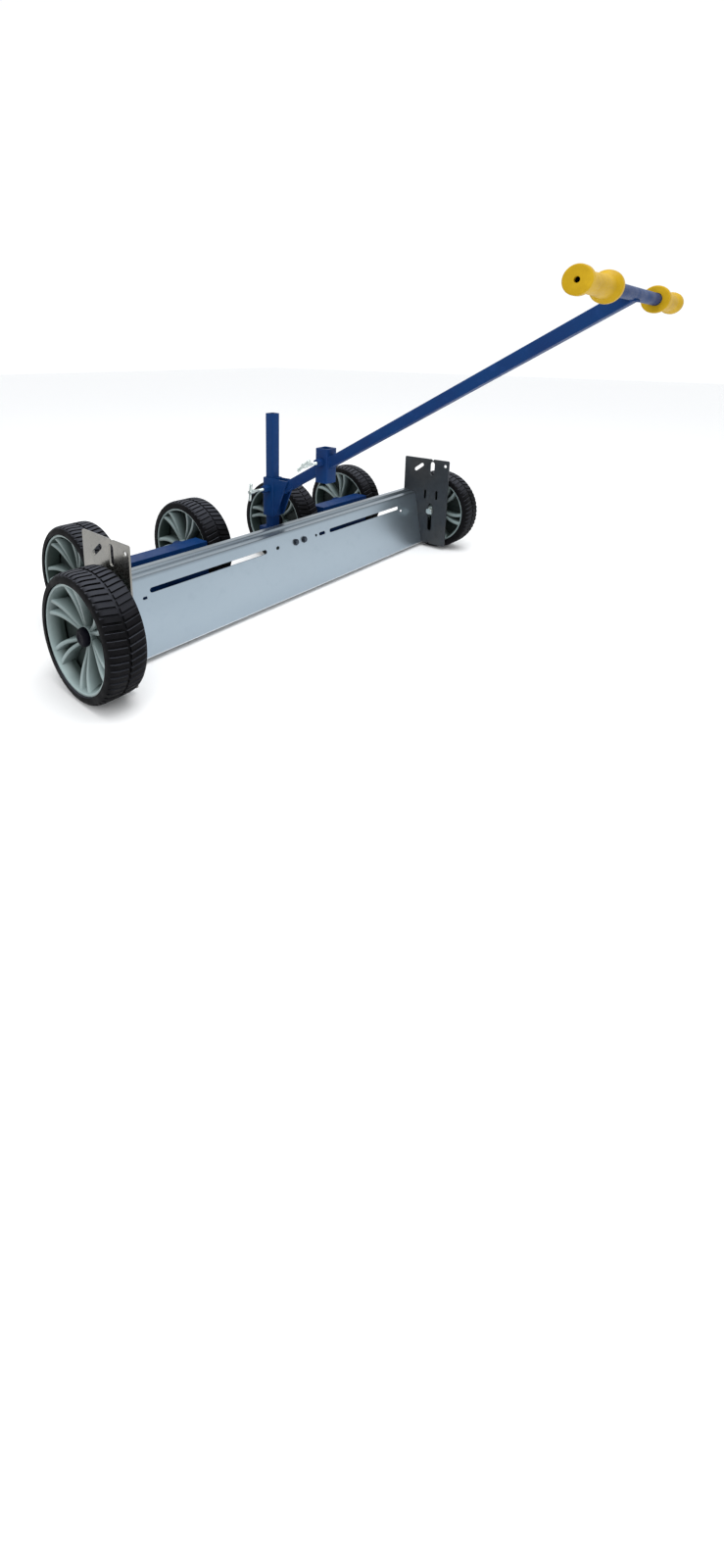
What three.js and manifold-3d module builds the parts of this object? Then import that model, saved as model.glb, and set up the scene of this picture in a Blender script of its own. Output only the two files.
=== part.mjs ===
// Push-along magnetic nail sweeper: a wide front magnet bar behind a polished sheet hood, carried by
// slotted end plates on two wheels, and two short blue magnet boxes behind it on four more wheels.
// A blue cross tube joins them and holds the square mast, on which the push handle slides.
// Millimetres. X runs along the bar, +Y to the back, +Z up. Z = 0 is the ground, and X = Y = 0 is
// the middle of the space that the sweeper takes up.

import * as THREE from 'three';
import { mergeVertices } from 'three/addons/utils/BufferGeometryUtils.js';
import Module from 'manifold-3d';

const wasm = await Module();
wasm.setup();

// ---- Driving dimensions -------------------------------------------------------------------------

const gap = 0.3;                                  // left between pieces that touch or are welded

const wheel = {
  radius: 127, width: 80, rimRadius: 112, web: 6, boreRadius: 6.7, segments: 36, ribPairs: 6, ribTurn: 0.15,
};
const hubEnds = { outer: -14, inner: 34 };         // along X from the wheel's middle, outer side at -X
const axleRadius = 6.35;
const axleEnd = 21;                               // how far an axle goes past its wheel's middle
const trackHalfWidth = 684;                       // outer faces of the two front tyres
const wheelbase = 290;                            // front axle line to rear axle line
const rearWheelX = [-504, -178, 178, 504];        // middles of the four rear wheels

const plate = { x: 590, thickness: 4, yFront: -60, yBack: 104, zBottom: 14, zTop: 301 };
const hood = {
  sheet: 2, yBottom: 25, zBottom: 12, yBend: 60, zBend: 183, step: 7, yStep: 82, yBack: 104, lip: 12,
  slotStart: 126, slotEnd: 478, slotHeight: 11, slotZ: 149,
  boltX: [-17, 16],
};
const channel = { yFront: 50, yBack: 100, zBottom: 20, zTop: 72, wall: 3 };

const crossTube = { side: 38, wall: 3, y: 103, z: 159 };
const mast = { side: 27, wall: 2, y: 155.5, zFoot: 168.3, zTop: 482.5 };
const foot = { side: 38, wall: 3, z: 149, yBack: 188 };

const box = { xOuter: 452, xInner: 230, yFront: 162, yBack: 208, zBottom: 28, zTop: 177, wall: 3 };
const arm = { thickness: 5, bossRadius: 22, boreRadius: 7.2 };
const link = { side: 30, wall: 3, x: 341, z: 151 };

const sleeve = { side: 38.6, bore: 29, zBottom: 203, zTop: 309 };
const collar = { side: 38.6, bore: 29, y: -31.5, zBottom: 323, zTop: 410 };
const handle = { side: 25.4, wall: 2, angle: 29.9 * Math.PI / 180, yThrough: 28, zThrough: 331 };
const tBar = { y: -688, radius: 11.1, wall: 2, halfLength: 271 };
const grip = {
  inner: 143, outer: 280, flangeRadius: 24.5, endRadius: 20.8, waistRadius: 15.5, bore: 11.5, hole: 4.2,
};
const screw = { radius: 4, tipX: -13.9, barX: -84, barLength: 48, barRadius: 4, collarTurn: 0.9 };
const boss = { radius: 11, xNear: -19.6, xFar: -38 };
const screwZ = { sleeve: 280, collar: 376 };

// The front axle's place along Y, so that the grips' front and the rear tyres' back are equally far out.
const frontAxleY = (-tBar.y + grip.flangeRadius - wheelbase - wheel.radius) / 2;

// ---- Materials ----------------------------------------------------------------------------------

function finish(color, roughness, metalness) {
  return new THREE.MeshStandardMaterial({ color, roughness, metalness });
}

const bluePaint = finish(0x1d3a72, 0.38, 0.1);
const polishedSheet = finish(0xa9b8c6, 0.25, 0.9);
const plateSteel = finish(0x8a8a84, 0.42, 0.8);
const zinc = finish(0xc2cdc6, 0.35, 0.85);
const tyreRubber = finish(0x1b1b1d, 0.85, 0);
const rimPlastic = finish(0x93a7a6, 0.4, 0.2);
const capPlastic = finish(0x101216, 0.5, 0);
const gripFoam = finish(0xd9a81e, 0.6, 0);
const magnetFerrite = finish(0x2c2c30, 0.7, 0.2);
const darkSteel = finish(0x55585c, 0.5, 0.8);

// ---- Solids -------------------------------------------------------------------------------------

// A closed three.js geometry as a manifold solid.
function toSolid(geometry) {
  const bare = geometry.clone();
  bare.deleteAttribute('normal');
  bare.deleteAttribute('uv');
  const merged = mergeVertices(bare, 1e-4);
  return new wasm.Manifold(new wasm.Mesh({
    numProp: 3,
    vertProperties: new Float32Array(merged.attributes.position.array),
    triVerts: new Uint32Array(merged.index.array),
  }));
}

// A manifold solid as a three.js geometry.
function toGeometry(solid) {
  const mesh = solid.getMesh();
  const geometry = new THREE.BufferGeometry();
  geometry.setAttribute('position', new THREE.BufferAttribute(new Float32Array(mesh.vertProperties), 3));
  geometry.setIndex(new THREE.BufferAttribute(new Uint32Array(mesh.triVerts), 1));
  return geometry;
}

function join(...geometries) {
  return toGeometry(geometries.map(toSolid).reduce((whole, piece) => whole.add(piece)));
}

function cut(base, ...tools) {
  return toGeometry(tools.map(toSolid).reduce((whole, tool) => whole.subtract(tool), toSolid(base)));
}

function keepWithin(base, region) {
  return toGeometry(toSolid(base).intersect(toSolid(region)));
}

// A block between two corners.
function block(x0, x1, y0, y1, z0, z1) {
  const geometry = new THREE.BoxGeometry(x1 - x0, y1 - y0, z1 - z0);
  return geometry.translate((x0 + x1) / 2, (y0 + y1) / 2, (z0 + z1) / 2);
}

// A rod along X.
function rodX(radius, x0, x1, y, z, segments = 20) {
  const geometry = new THREE.CylinderGeometry(radius, radius, x1 - x0, segments);
  return geometry.rotateZ(-Math.PI / 2).translate((x0 + x1) / 2, y, z);
}

// An outline drawn in (y, z), made into a slab from x0 to x1.
function slabX(outline, x0, x1) {
  const settings = { depth: x1 - x0, bevelEnabled: false, curveSegments: 5 };
  const geometry = new THREE.ExtrudeGeometry(outline, settings);
  const turn = new THREE.Matrix4().makeBasis(
    new THREE.Vector3(0, 1, 0), new THREE.Vector3(0, 0, 1), new THREE.Vector3(1, 0, 0));
  return geometry.applyMatrix4(turn).translate(x0, 0, 0);
}

// An (x, radius) profile turned about the X axis: it closes on itself, or starts and ends on the axis.
function turnedX(profile, segments) {
  const points = profile.map(([x, radius]) => new THREE.Vector2(radius, x));
  if (points[0].x > 0) points.push(points[0].clone());
  return new THREE.LatheGeometry(points, segments).rotateZ(-Math.PI / 2);
}

function shapeOf(points) {
  return new THREE.Shape(points.map(([u, v]) => new THREE.Vector2(u, v)));
}

// An upright slot with round ends, as an outline in (y, z).
function slotOutline(y, z0, z1, width) {
  const r = width / 2;
  const outline = new THREE.Shape();
  outline.absarc(y, z1 - r, r, 0, Math.PI);
  outline.absarc(y, z0 + r, r, Math.PI, 2 * Math.PI);
  outline.closePath();
  return outline;
}

// A square tube along Z, from z0 to z1, centred on (x, y).
function squareTubeZ(side, bore, x, y, z0, z1) {
  return cut(
    block(x - side / 2, x + side / 2, y - side / 2, y + side / 2, z0, z1),
    block(x - bore / 2, x + bore / 2, y - bore / 2, y + bore / 2, z0 - 1, z1 + 1));
}

// ---- The scene graph ----------------------------------------------------------------------------

const sweeper = new THREE.Group();
const chassis = new THREE.Group();                // in here Y = 0 is the front axle
chassis.position.y = frontAxleY;
sweeper.add(chassis);

function place(parent, name, geometry, material) {
  const mesh = new THREE.Mesh(geometry, material);
  mesh.name = name;
  parent.add(mesh);
  return mesh;
}

// ---- Wheels -------------------------------------------------------------------------------------

// The tyre: solid rubber with a flat tread and rounded shoulders, seated on the rim's barrel.
function tyreGeometry() {
  const half = wheel.width / 2;
  const seat = wheel.rimRadius - 4;
  const { radius } = wheel;
  return turnedX([
    [-half, seat], [-half, radius - 8], [5 - half, radius - 2], [14 - half, radius],
    [half - 14, radius], [half - 5, radius - 2], [half, radius - 8], [half, seat],
  ], wheel.segments);
}

// The moulded rim: a barrel on a closed web, a bored hub, and pairs of ribs that run out from the hub
// on both faces. The outer face (-X) is dished, so its ribs slope out to the barrel's lip.
function rimGeometry() {
  const half = wheel.width / 2 - 3;
  const seat = wheel.rimRadius - 4 - gap;
  const web = wheel.web / 2;
  const barrel = turnedX([
    [-half, seat - 5], [-half, seat], [half, seat], [half, seat - 5],
    [web, seat - 9], [web, 14], [-web, 14], [-web, seat - 9],
  ], wheel.segments);
  const hub = turnedX([
    [hubEnds.outer, wheel.boreRadius], [hubEnds.outer, 20],
    [hubEnds.inner, 20], [hubEnds.inner, wheel.boreRadius],
  ], 20);
  const rib = new THREE.ExtrudeGeometry(shapeOf([
    [hubEnds.outer + 2, 16], [18, 16], [half - 6, seat - 6], [2 - half, seat - 6],
  ]), { depth: 6, bevelEnabled: false }).translate(0, 0, -3).rotateX(Math.PI / 2);
  const pieces = [barrel, hub];
  for (let pair = 0; pair < wheel.ribPairs; pair += 1) {
    for (const side of [-1, 1]) {
      pieces.push(rib.clone().rotateX(side * wheel.ribTurn + pair * 2 * Math.PI / wheel.ribPairs));
    }
  }
  return join(...pieces);
}

// The push-on cap over the axle's end, hollow inside.
function capGeometry() {
  const base = hubEnds.outer - gap;
  return turnedX([
    [base - 12, 0], [base - 12, 12], [base - 9, 17], [base, 19], [base, 9], [base - 8, 9], [base - 8, 0],
  ], 20);
}

const wheelParts = { tyre: tyreGeometry(), rim: rimGeometry(), cap: capGeometry() };

// One wheel: its tyre, rim and cap, with the cap on the side that points along outward (-1 or 1).
function addWheel(name, x, y, outward) {
  const group = new THREE.Group();
  group.position.set(x, y, wheel.radius);
  group.rotation.z = outward < 0 ? 0 : Math.PI;
  chassis.add(group);
  place(group, `${name}_tyre`, wheelParts.tyre, tyreRubber);
  place(group, `${name}_rim`, wheelParts.rim, rimPlastic);
  place(group, `${name}_cap`, wheelParts.cap, capPlastic);
}

const frontWheelX = trackHalfWidth - wheel.width / 2;
addWheel('front_left', -frontWheelX, 0, -1);
addWheel('front_right', frontWheelX, 0, 1);
['rear_1', 'rear_2', 'rear_3', 'rear_4'].forEach((name, index) => {
  addWheel(name, rearWheelX[index], wheelbase, index % 2 === 0 ? -1 : 1);
});

// ---- Front unit ---------------------------------------------------------------------------------

// The polished hood: one folded sheet, leaning back from its hemmed bottom edge to the top bend, then
// a stepped top flange. Two long slots and a few holes are punched through its face.
function hoodGeometry() {
  const t = hood.sheet;
  const top = hood.zBend + hood.step;
  const sheet = slabX(shapeOf([
    [hood.yBottom, hood.zBottom], [hood.yBottom + hood.lip, hood.zBottom],
    [hood.yBottom + hood.lip, hood.zBottom + t], [hood.yBottom + t + 0.3, hood.zBottom + t],
    [hood.yBend + t, hood.zBend - t], [hood.yStep, hood.zBend - t], [hood.yStep + 5, top - t],
    [hood.yBack, top - t], [hood.yBack, top], [hood.yStep + 4, top], [hood.yStep - 1, hood.zBend],
    [hood.yBend, hood.zBend],
  ]), gap - plate.x, plate.x - gap);
  const punch = (x0, x1, z, height) => block(
    x0, x1, hood.yBottom, hood.yBend + 10, z - height / 2, z + height / 2);
  const cuts = [];
  for (const side of [-1, 1]) {
    const ends = [side * hood.slotStart, side * hood.slotEnd].sort((a, b) => a - b);
    cuts.push(punch(ends[0], ends[1], hood.slotZ, hood.slotHeight));
    cuts.push(punch(side * 492 - 6, side * 492 + 6, hood.slotZ - 12, 6));
  }
  const holes = [[-86, 12, 9], [67, 8, 8], [93, 26, 9], ...hood.boltX.map((x) => [x, 18, 16])];
  for (const [x, width, height] of holes) {
    cuts.push(punch(x - width / 2, x + width / 2, hood.slotZ, height));
  }
  return cut(sheet, ...cuts);
}
place(chassis, 'front_hood', hoodGeometry(), polishedSheet);

// The end plates: flat steel with an axle slot, an upper slot and a slanted slot, cut alike.
function endPlateGeometry(side) {
  const { yFront, yBack, zBottom, zTop } = plate;
  const notch = 4;
  const outline = shapeOf([
    [yFront, zBottom], [-notch, zBottom], [0, zBottom + 6], [notch, zBottom],
    [yBack, zBottom], [yBack, zTop], [notch, zTop], [0, zTop - 6], [-notch, zTop], [yFront, zTop],
  ]);
  outline.holes.push(slotOutline(0, 60, 152, 14));
  outline.holes.push(slotOutline(0, 248, 292, 15));
  outline.holes.push(slotOutline(22, 166, 196, 8));
  outline.holes.push(slotOutline(-20, 168, 198, 8));
  const hole = new THREE.Shape();
  hole.absarc(-46, 283, 5, 0, 2 * Math.PI);
  outline.holes.push(hole);
  const x0 = side < 0 ? -plate.x - plate.thickness : plate.x;
  const blank = slabX(outline, x0, x0 + plate.thickness);
  const slanted = slabX(slotOutline(0, -20, 20, 11), x0 - 1, x0 + plate.thickness + 1);
  slanted.rotateX(0.92).translate(0, 50, 270);
  return cut(blank, slanted);
}
place(chassis, 'end_plate_left', endPlateGeometry(-1), plateSteel);
place(chassis, 'end_plate_right', endPlateGeometry(1), plateSteel);

// The magnet channel: an upturned U along the bar, with one long ferrite bar inside.
function channelGeometry() {
  const { yFront, yBack, zBottom, zTop, wall } = channel;
  return slabX(shapeOf([
    [yFront, zBottom], [yFront + wall, zBottom], [yFront + wall, zTop - wall],
    [yBack - wall, zTop - wall], [yBack - wall, zBottom], [yBack, zBottom], [yBack, zTop], [yFront, zTop],
  ]), gap - plate.x, plate.x - gap);
}
place(chassis, 'front_magnet_channel', channelGeometry(), darkSteel);
const barX = plate.x - 12;
place(chassis, 'front_magnet_bar', block(
  -barX, barX, channel.yFront + channel.wall + gap, channel.yBack - channel.wall - gap,
  channel.zBottom + 2, channel.zTop - channel.wall - gap), magnetFerrite);

// The front axle bolts: a hexagon head inside the plate, a shank through the slot and the hub.
function frontAxleGeometry(side) {
  const inner = plate.x - gap;
  const end = frontWheelX + axleEnd;
  const head = rodX(11, inner - 9, inner, 0, wheel.radius, 6);
  const shank = rodX(axleRadius, inner - 2, end, 0, wheel.radius);
  const washer = rodX(14, plate.x + plate.thickness + gap, plate.x + plate.thickness + 4, 0, wheel.radius);
  const bolt = join(head, shank, washer);
  return side < 0 ? bolt.rotateZ(Math.PI) : bolt;
}
place(chassis, 'front_axle_left', frontAxleGeometry(-1), zinc);
place(chassis, 'front_axle_right', frontAxleGeometry(1), zinc);

// ---- Frame --------------------------------------------------------------------------------------

// The cross tube between the end plates, behind the hood's top flange.
function crossTubeGeometry() {
  const half = crossTube.side / 2;
  const inner = half - crossTube.wall;
  const length = plate.x - gap;
  const { y, z } = crossTube;
  return cut(
    block(-length, length, y - half, y + half, z - half, z + half),
    block(-length - 1, length + 1, y - inner, y + inner, z - inner, z + inner));
}
place(chassis, 'cross_tube', crossTubeGeometry(), bluePaint);

// A short square tube along Y, butted against the cross tube's back.
function stubTube(side, wall, x, z, yBack) {
  const half = side / 2;
  const inner = half - wall;
  const yFront = crossTube.y + crossTube.side / 2 + gap;
  return cut(
    block(x - half, x + half, yFront, yBack, z - half, z + half),
    block(x - inner, x + inner, yFront - 1, yBack + 1, z - inner, z + inner));
}
place(chassis, 'mast_foot', stubTube(foot.side, foot.wall, 0, foot.z, foot.yBack), bluePaint);
place(chassis, 'mast', squareTubeZ(
  mast.side, mast.side - 2 * mast.wall, 0, mast.y, mast.zFoot, mast.zTop), bluePaint);

// The two bolts that hold the hood's middle to the cross tube, through a spacer each.
function hoodBoltGeometry(x) {
  const lean = (hood.yBend - hood.yBottom) / (hood.zBend - hood.zBottom);
  const yHead = hood.yBottom + (hood.slotZ - hood.zBottom) * lean;
  const yTube = crossTube.y - crossTube.side / 2 - gap;
  const head = new THREE.CylinderGeometry(6.5, 6.5, 6, 6).translate(0, yHead - 4, 0);
  const shank = new THREE.CylinderGeometry(4, 4, yTube - yHead + 4, 12);
  shank.translate(0, (yTube + yHead - 4) / 2, 0);
  return join(head, shank).translate(x, 0, hood.slotZ);
}
place(chassis, 'hood_bolt_left', hoodBoltGeometry(hood.boltX[0]), zinc);
place(chassis, 'hood_bolt_right', hoodBoltGeometry(hood.boltX[1]), zinc);

// ---- Rear magnet boxes --------------------------------------------------------------------------

// One blue magnet box, open underneath, with its ferrite bar, two wheel arms, axle and link.
function addRearUnit(name, side) {
  const span = (near, far) => (side < 0 ? [-far, -near] : [near, far]);
  const [x0, x1] = span(box.xInner, box.xOuter);
  const w = box.wall;
  place(chassis, `${name}_magnet_box`, cut(
    block(x0, x1, box.yFront, box.yBack, box.zBottom, box.zTop),
    block(x0 + w, x1 - w, box.yFront + w, box.yBack - w, box.zBottom - 1, box.zTop - w)), bluePaint);
  place(chassis, `${name}_magnet_bar`, block(
    x0 + w + gap, x1 - w - gap, box.yFront + w + gap, box.yBack - w - gap,
    box.zBottom + 2, box.zBottom + 52), magnetFerrite);

  const armOutline = () => {
    const outline = new THREE.Shape();
    outline.moveTo(box.yFront + 4, box.zBottom + 20);
    outline.lineTo(box.yBack, box.zBottom + 20);
    outline.lineTo(wheelbase + 6, wheel.radius - arm.bossRadius);
    outline.absarc(wheelbase, wheel.radius, arm.bossRadius, -Math.PI / 2 + 0.3, Math.PI / 2 - 0.1);
    outline.lineTo(box.yBack, box.zTop - 18);
    outline.lineTo(box.yFront + 4, box.zTop - 18);
    outline.closePath();
    const bore = new THREE.Path();
    bore.absarc(wheelbase, wheel.radius, arm.boreRadius, 0, 2 * Math.PI);
    outline.holes.push(bore);
    return outline;
  };
  for (const [end, near] of [['inner', box.xInner - gap - arm.thickness], ['outer', box.xOuter + gap]]) {
    const [a0, a1] = span(near, near + arm.thickness);
    place(chassis, `${name}_arm_${end}`, slabX(armOutline(), a0, a1), bluePaint);
  }
  const [r0, r1] = span(rearWheelX[2] - axleEnd, rearWheelX[3] + axleEnd);
  place(chassis, `${name}_axle`, rodX(axleRadius, r0, r1, wheelbase, wheel.radius), zinc);
  const linkTube = stubTube(link.side, link.wall, side * link.x, link.z, box.yFront - gap);
  place(chassis, `${name}_link`, linkTube, bluePaint);
}
addRearUnit('rear_left', -1);
addRearUnit('rear_right', 1);

// ---- Push handle --------------------------------------------------------------------------------

const slope = Math.tan(handle.angle);
const handleZ = (y) => handle.zThrough + slope * (handle.yThrough - y);

// The clamp screw's hole through a wall and its welded nut, at height z on the line y.
function screwHole(y, z) {
  return rodX(screw.radius + gap, -60, -6, y, z);
}

// A square socket with a screw hole in its left wall.
function socketGeometry(part, y, z) {
  return cut(squareTubeZ(part.side, part.bore, 0, y, part.zBottom, part.zTop), screwHole(y, z));
}
place(chassis, 'slide_sleeve', socketGeometry(sleeve, mast.y, screwZ.sleeve), bluePaint);
place(chassis, 'spare_collar', socketGeometry(collar, collar.y, screwZ.collar), bluePaint);

// The long square tube on the handle's slope, from y0 (back) to y1 (front), before its ends are cut.
function slopedTube(y0, y1) {
  const length = (y0 - y1) / Math.cos(handle.angle);
  const half = handle.side / 2;
  const inner = half - handle.wall;
  const tube = cut(
    block(-half, half, -length, 0, -half, half),
    block(-inner, inner, -length - 1, 1, -inner, inner));
  return tube.rotateX(-handle.angle).translate(0, y0, handleZ(y0));
}

const sleeveFront = mast.y - sleeve.side / 2 - gap;
const collarBack = collar.y + collar.side / 2 + gap;
const collarFront = collar.y - collar.side / 2 - gap;
place(chassis, 'handle_lower_tube', keepWithin(
  slopedTube(sleeveFront + 40, collarBack - 40),
  block(-50, 50, collarBack, sleeveFront, 100, 600)), bluePaint);
place(chassis, 'handle_tube', cut(keepWithin(
  slopedTube(collarFront + 40, tBar.y),
  block(-50, 50, tBar.y - 50, collarFront, 100, 900)),
rodX(tBar.radius + gap, -40, 40, tBar.y, handleZ(tBar.y), 32)), bluePaint);

// The two gusset plates that tie the sleeve to the lower tube.
const gussetOutline = shapeOf([
  [sleeveFront, 204], [sleeveFront, 308], [84, 308], [104, 266], [128, 208],
]);
for (const [name, x0] of [['gusset_left', -17], ['gusset_right', 13]]) {
  place(chassis, name, slabX(gussetOutline, x0, x0 + 4), bluePaint);
}

// The T-bar and its two moulded grips.
const tBarZ = handleZ(tBar.y);
place(chassis, 't_bar', cut(
  rodX(tBar.radius, -tBar.halfLength, tBar.halfLength, tBar.y, tBarZ, 24),
  rodX(tBar.radius - tBar.wall, -tBar.halfLength - 1, tBar.halfLength + 1, tBar.y, tBarZ, 24)), bluePaint);

function gripGeometry(side) {
  const { inner, outer, flangeRadius, endRadius, waistRadius, bore, hole } = grip;
  const geometry = turnedX([
    [inner, bore], [inner, flangeRadius - 3], [inner + 3, flangeRadius], [inner + 10, flangeRadius],
    [inner + 16, flangeRadius - 6], [inner + 34, waistRadius + 1], [outer - 60, waistRadius],
    [outer - 24, waistRadius + 1], [outer - 10, endRadius], [outer - 3, endRadius], [outer, endRadius - 3],
    [outer, hole], [outer - 6, hole], [outer - 6, bore],
  ], 20);
  if (side < 0) geometry.rotateZ(Math.PI);
  return geometry.translate(0, tBar.y, tBarZ);
}
place(chassis, 'grip_left', gripGeometry(-1), gripFoam);
place(chassis, 'grip_right', gripGeometry(1), gripFoam);

// A clamp screw: a shank along X with a cross bar at its outer end, and the nut welded to the socket.
function addClamp(name, y, z, turn) {
  const bar = new THREE.CylinderGeometry(screw.barRadius, screw.barRadius, screw.barLength, 12);
  bar.rotateX(Math.PI / 2 + turn).translate(screw.barX, y, z);
  place(chassis, `${name}_clamp_screw`, join(
    rodX(screw.radius, screw.barX, screw.tipX, y, z, 16), bar), zinc);
  place(chassis, `${name}_clamp_nut`, cut(
    rodX(boss.radius, boss.xFar, boss.xNear, y, z, 6), screwHole(y, z)), bluePaint);
}
addClamp('sleeve', mast.y, screwZ.sleeve, 0.12);
addClamp('collar', collar.y, screwZ.collar, screw.collarTurn);

export default sweeper;
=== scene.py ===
"""A push-along magnetic nail sweeper: a wide magnet bar behind a polished hood, on six wheels.

Metres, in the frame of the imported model: X along the bar, +Y to the back, +Z up, ground at Z = 0.
"""

import math
import random

import bmesh
import bpy
from mathutils import Matrix, Vector


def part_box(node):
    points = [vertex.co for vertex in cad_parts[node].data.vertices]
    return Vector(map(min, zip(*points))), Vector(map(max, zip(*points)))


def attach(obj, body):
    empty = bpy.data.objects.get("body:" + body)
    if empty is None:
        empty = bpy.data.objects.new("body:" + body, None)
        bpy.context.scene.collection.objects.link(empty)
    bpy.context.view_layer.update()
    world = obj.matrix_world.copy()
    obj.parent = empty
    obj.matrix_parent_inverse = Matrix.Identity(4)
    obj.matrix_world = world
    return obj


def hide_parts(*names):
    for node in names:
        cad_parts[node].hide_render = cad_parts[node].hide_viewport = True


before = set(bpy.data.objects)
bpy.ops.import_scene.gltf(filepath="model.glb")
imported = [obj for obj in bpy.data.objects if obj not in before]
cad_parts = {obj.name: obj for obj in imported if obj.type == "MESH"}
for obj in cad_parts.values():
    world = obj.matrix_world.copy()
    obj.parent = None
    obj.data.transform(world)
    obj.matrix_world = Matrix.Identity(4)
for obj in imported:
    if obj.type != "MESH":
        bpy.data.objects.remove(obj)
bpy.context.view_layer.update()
random.seed(11)


# ---- Room, lamps and camera --------------------------------------------------------------------
# A plain pale floor, an even white surround, one wide soft lamp over the front and a smaller one
# to the left, and a camera in front of the left wheel that looks down and across the bar.

def middle(node):
    """The middle of a CAD node's box."""
    low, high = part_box(node)
    return (low + high) / 2


axle_y = middle("front_axle_left").y

camera_data = bpy.data.cameras.new("camera")
camera = bpy.data.objects.new("camera", camera_data)
bpy.context.scene.collection.objects.link(camera)
bpy.context.scene.camera = camera
camera_data.sensor_width = 36
camera_data.lens = 14.04
camera_data.shift_x = 0.0414
camera_data.shift_y = -0.1823
camera_data.clip_start = 0.02
camera_place = (-1.1716, axle_y - 0.9900, 0.6509)
camera_turn, camera_drop, camera_roll = 0.8378, 0.2404, 0.0069
camera.matrix_world = (
    Matrix.Translation(camera_place)
    @ Matrix.Rotation(-camera_turn, 4, "Z")
    @ Matrix.Rotation(math.radians(90) - camera_drop, 4, "X")
    @ Matrix.Rotation(camera_roll, 4, "Z")
)
bpy.context.scene.view_settings.view_transform = "Standard"

floor_size = 14
floor_mesh = bpy.data.meshes.new("floor")
floor_mesh.from_pydata(
    [(-floor_size, -floor_size, 0), (floor_size, -floor_size, 0),
     (floor_size, floor_size, 0), (-floor_size, floor_size, 0)],
    [], [(0, 1, 2, 3)])
floor = bpy.data.objects.new("floor", floor_mesh)
bpy.context.scene.collection.objects.link(floor)

floor_paint = bpy.data.materials.new("pale_floor")
floor_paint.use_nodes = True
floor_shader = floor_paint.node_tree.nodes["Principled BSDF"]
floor_shader.inputs["Base Color"].default_value = (0.93, 0.93, 0.93, 1)
floor_shader.inputs["Roughness"].default_value = 0.75
floor_mesh.materials.append(floor_paint)

world = bpy.data.worlds.new("studio")
bpy.context.scene.world = world
world.use_nodes = True
surround = world.node_tree.nodes["Background"]
surround.inputs["Color"].default_value = (0.97, 0.985, 1.0, 1)
surround.inputs["Strength"].default_value = 1.04


def add_lamp(name, place, target, width, depth, power):
    """A wide soft lamp that looks at a point."""
    lamp_data = bpy.data.lights.new(name, "AREA")
    lamp_data.shape = "RECTANGLE"
    lamp_data.size = width
    lamp_data.size_y = depth
    lamp_data.energy = power
    lamp = bpy.data.objects.new(name, lamp_data)
    bpy.context.scene.collection.objects.link(lamp)
    lamp.location = place
    lamp.rotation_euler = (Vector(target) - Vector(place)).to_track_quat("-Z", "Y").to_euler()


add_lamp("overhead_lamp", (-0.3, -0.7, 3.1), (0, 0.1, 0.2), 2.6, 1.8, 56)
add_lamp("left_lamp", (-3.0, -0.4, 1.8), (0, 0.1, 0.2), 1.4, 1.4, 12)


# ---- Polished front hood -----------------------------------------------------------------------
# One long strip of bright sheet, folded on a brake: a turned-in bottom lip, a tall face that leans
# back, a narrow ledge and a raised top flange. Two long slots and a few holes are punched in it.

def soft_shade(mesh, degrees=32):
    """Shades a mesh smooth, apart from edges sharper than this."""
    work = bmesh.new()
    work.from_mesh(mesh)
    bmesh.ops.recalc_face_normals(work, faces=work.faces)
    for face in work.faces:
        face.smooth = True
    for edge in work.edges:
        if len(edge.link_faces) == 2:
            edge.smooth = edge.calc_face_angle(0) < math.radians(degrees)
    work.to_mesh(mesh)
    work.free()
    return mesh


def loft(name, rings, closed=False, capped=False):
    """A mesh through rings of equal count. closed joins the last ring to the first."""
    count = len(rings[0])
    faces = []
    for i in range(len(rings) if closed else len(rings) - 1):
        here, there = i * count, (i + 1) % len(rings) * count
        for k in range(count):
            after = (k + 1) % count
            faces.append((here + k, here + after, there + after, there + k))
    if capped:
        faces.append(tuple(reversed(range(count))))
        faces.append(tuple(range((len(rings) - 1) * count, len(rings) * count)))
    mesh = bpy.data.meshes.new(name)
    mesh.from_pydata([tuple(point) for ring in rings for point in ring], [], faces)
    return soft_shade(mesh)


def add_piece(name, mesh, material, body, slot_name, *nodes, place=Matrix()):
    """A finished piece in its place on its body, with its finish, standing for these CAD nodes."""
    piece = bpy.data.objects.new(name, mesh)
    bpy.context.scene.collection.objects.link(piece)
    piece.matrix_world = place
    if not mesh.materials:
        mesh.materials.append(material)
    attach(piece, body)
    if nodes:
        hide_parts(*nodes)
    return piece


def break_edges(piece, width, steps=2):
    """Takes the sharpness off a piece's edges, as deburring and paint do."""
    bevel = piece.modifiers.new("broken_edges", "BEVEL")
    bevel.width = width
    bevel.segments = steps
    bevel.limit_method = "ANGLE"
    bevel.angle_limit = math.radians(40)
    bevel.harden_normals = True
    return piece


def turn_corners(corners, radius, steps=5, closed=False):
    """A 2D path whose corners are replaced by arcs of this radius."""
    path = []
    count = len(corners)
    for i, corner in enumerate(corners):
        here = Vector(corner)
        if not closed and i in (0, count - 1):
            path.append(here)
            continue
        back = (Vector(corners[i - 1]) - here).normalized()
        ahead = (Vector(corners[(i + 1) % count]) - here).normalized()
        half = back.angle(ahead) / 2
        reach = radius / math.tan(half)
        centre = here + (back + ahead).normalized() * (radius / math.sin(half))
        start, end = here + back * reach - centre, here + ahead * reach - centre
        for k in range(steps + 1):
            mixed = start.lerp(end, k / steps)
            path.append(centre + mixed.normalized() * radius)
    return path


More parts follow.
